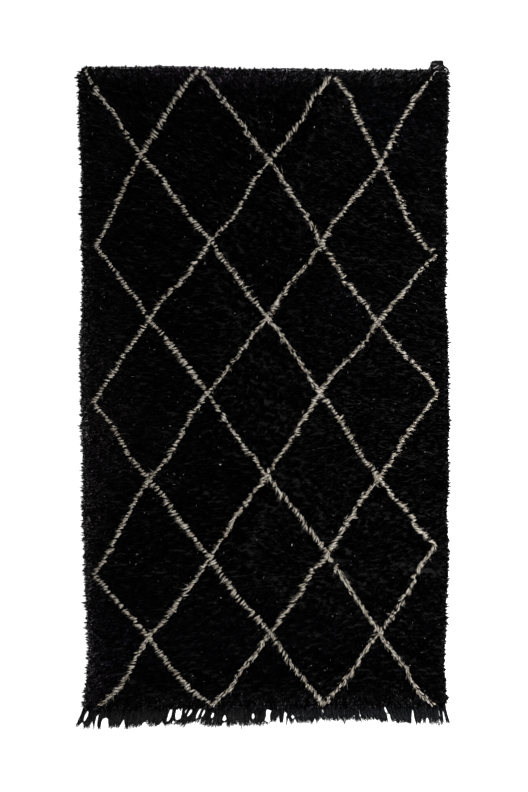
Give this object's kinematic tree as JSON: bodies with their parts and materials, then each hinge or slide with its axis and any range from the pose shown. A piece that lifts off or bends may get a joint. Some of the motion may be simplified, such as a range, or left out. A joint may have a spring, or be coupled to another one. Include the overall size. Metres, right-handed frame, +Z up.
{
  "type": "beni ourain rug",
  "caption": "Hand-knotted shag rug, black pile with an ivory line lattice, lying flat with a loose fringe along its lower end and a knotted tuft at one corner.",
  "frame": {"origin": "middle of the box round the whole rug, on its underside", "axes": "+Y along the rug's length, from the fringe to the plain top end; +Z up out of the pile; +X to the right seen from above"},
  "size_m": [1.513, 2.6732, 0.0229],
  "materials": {
    "pile_wool": "matte",
    "warp_yarn": "matte",
    "corner_yarn": "matte"
  },
  "bodies": {
    "root": {"rug_field": "pile_wool", "bottom_fringe": "warp_yarn", "corner_tuft": "corner_yarn"}
  },
  "joints": []
}
